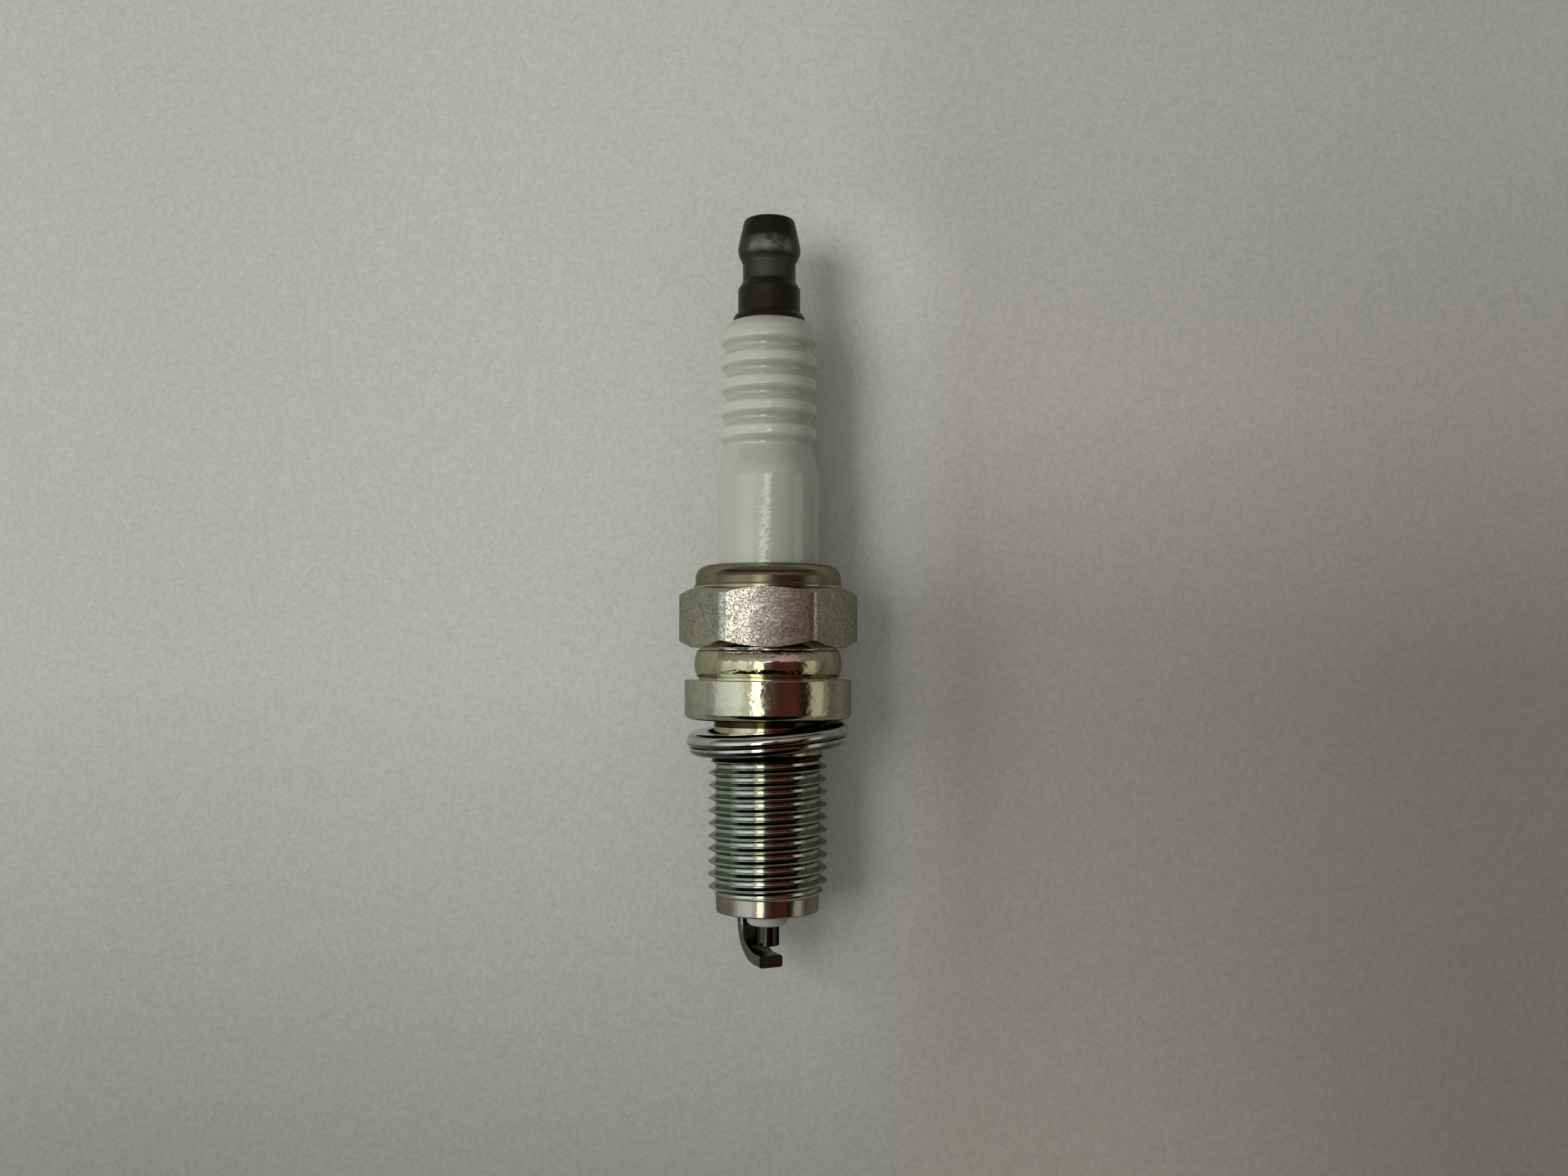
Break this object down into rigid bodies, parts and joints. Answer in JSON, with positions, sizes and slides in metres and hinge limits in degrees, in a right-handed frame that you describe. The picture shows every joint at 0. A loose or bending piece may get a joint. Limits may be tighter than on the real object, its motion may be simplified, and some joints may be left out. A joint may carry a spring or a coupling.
{
  "type": "spark plug",
  "caption": "Resistor spark plug with a ribbed ceramic insulator, a hexagon shell with a long-reach thread, a loose folded gasket and a bent ground strap.",
  "frame": {"origin": "on the plug's axis, in the plane of the shell's seat face, where the gasket bears", "axes": "+Y along the plug's axis towards the terminal, so the thread points along -Y; +Z out of one flat of the hexagon, up as the plug lies"},
  "size_m": [0.018, 0.0751, 0.0168],
  "materials": {
    "black_steel": "dark phosphate, satin",
    "white_glaze": "gloss white glaze",
    "zinc_plate": "zinc plate with a yellow-green and pink chromate tint",
    "nickel_alloy": "drawn nickel alloy, satin",
    "nickel_tip": "turned nickel alloy",
    "copper": "bare copper",
    "conductive_glass": "fused glass and copper powder",
    "resistor_body": "fired carbon and glass",
    "packing_steel": "plain steel",
    "talc": "packed powder",
    "gasket_steel": "bright plated sheet steel"
  },
  "bodies": {
    "plug": {"terminal_stud": "black_steel", "insulator": "white_glaze", "metal_shell": "zinc_plate", "ground_electrode": "nickel_alloy", "centre_electrode": "nickel_tip", "copper_core": "copper", "lower_glass_seal": "conductive_glass", "resistor": "resistor_body", "upper_glass_seal": "conductive_glass", "seat_packing": "packing_steel", "lower_ring_packing": "packing_steel", "talc_seal": "talc", "upper_ring_packing": "packing_steel"},
    "gasket": {"gasket": "gasket_steel"}
  },
  "joints": [
    {"name": "gasket_slide", "type": "slide", "parent": "plug", "child": "gasket", "axis": [0, 1, 0], "range_m": [-0.0011, 0.0001]}
  ]
}
